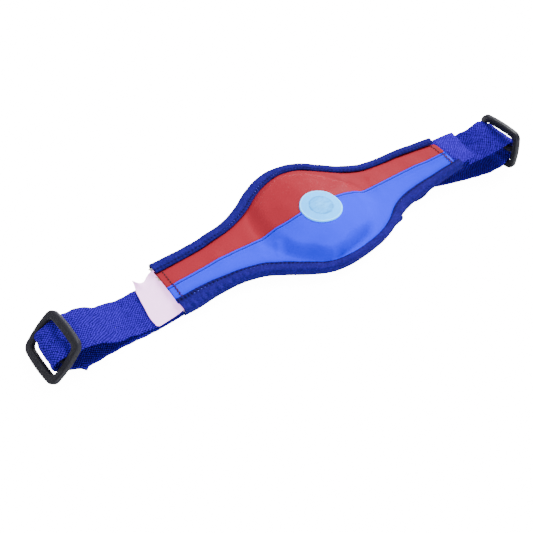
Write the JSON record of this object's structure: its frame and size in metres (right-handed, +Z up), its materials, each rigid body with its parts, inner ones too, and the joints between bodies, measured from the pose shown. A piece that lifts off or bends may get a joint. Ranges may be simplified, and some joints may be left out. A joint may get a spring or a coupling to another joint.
{
  "type": "padded waist belt",
  "caption": "Padded waist belt with a filled, bound pad, a round badge, a looped webbing strap, two three-bar slides and a closure tab.",
  "frame": {"origin": "on the underside of the strap's back run, below the middle of the pad, where the belt lies on a surface", "axes": "+X along the belt from the label end to the closure end, +Y across the belt towards the red panel, +Z up from the surface through the badge"},
  "size_m": [0.4126, 0.113, 0.0366],
  "materials": {
    "backing": "brushed knit",
    "foam": "open foam",
    "felt": "felt",
    "magnet": "ground ferrite",
    "red_vinyl": "coated fabric, satin",
    "blue_vinyl": "coated fabric, satin",
    "blue_thread": "twisted thread",
    "red_thread": "twisted thread",
    "binding": "brushed tape",
    "badge": "moulded soft plastic",
    "label": "printed satin",
    "webbing": "woven webbing",
    "hook_loop": "hook and loop tape",
    "black_plastic": "satin moulded plastic"
  },
  "bodies": {
    "belt": {"back_panel": "backing", "foam_core": "foam", "magnet_carrier": "felt", "centre_magnet": "magnet", "ring_magnets": "magnet", "dome_filling": "foam", "front_panel_red": "red_vinyl", "front_panel_blue": "blue_vinyl", "seam_thread": "blue_thread", "binding_far": "binding", "binding_near": "binding", "binding_thread_far": "blue_thread", "binding_thread_near": "blue_thread", "end_thread_left": "red_thread", "end_thread_right": "red_thread", "round_badge": "badge", "waist_strap": "webbing", "loop_patch": "hook_loop"},
    "label": {"care_label": "label"},
    "tab": {"closure_tab": "webbing", "hook_patch": "hook_loop"},
    "left_slide": {"left_slide": "black_plastic"},
    "right_slide": {"right_slide": "black_plastic"}
  },
  "joints": [
    {"name": "label_flap", "type": "hinge", "parent": "belt", "child": "label", "pos_m": [-0.1303, 0, 0.0086], "axis": [0, 1, 0], "range_deg": [0, 100]},
    {"name": "closure_tab_lift", "type": "hinge", "parent": "belt", "child": "tab", "pos_m": [0.1303, -0.0094, 0.0188], "axis": [0, -1, 0], "range_deg": [0, 80]},
    {"name": "left_slide_swivel", "type": "hinge", "parent": "belt", "child": "left_slide", "pos_m": [-0.217, 0, 0.01353], "axis": [0, 1, 0], "range_deg": [-40, 0]},
    {"name": "right_slide_swivel", "type": "hinge", "parent": "belt", "child": "right_slide", "pos_m": [0.176, -0.022, 0.0186], "axis": [0, 1, 0], "range_deg": [-20, 15]}
  ]
}
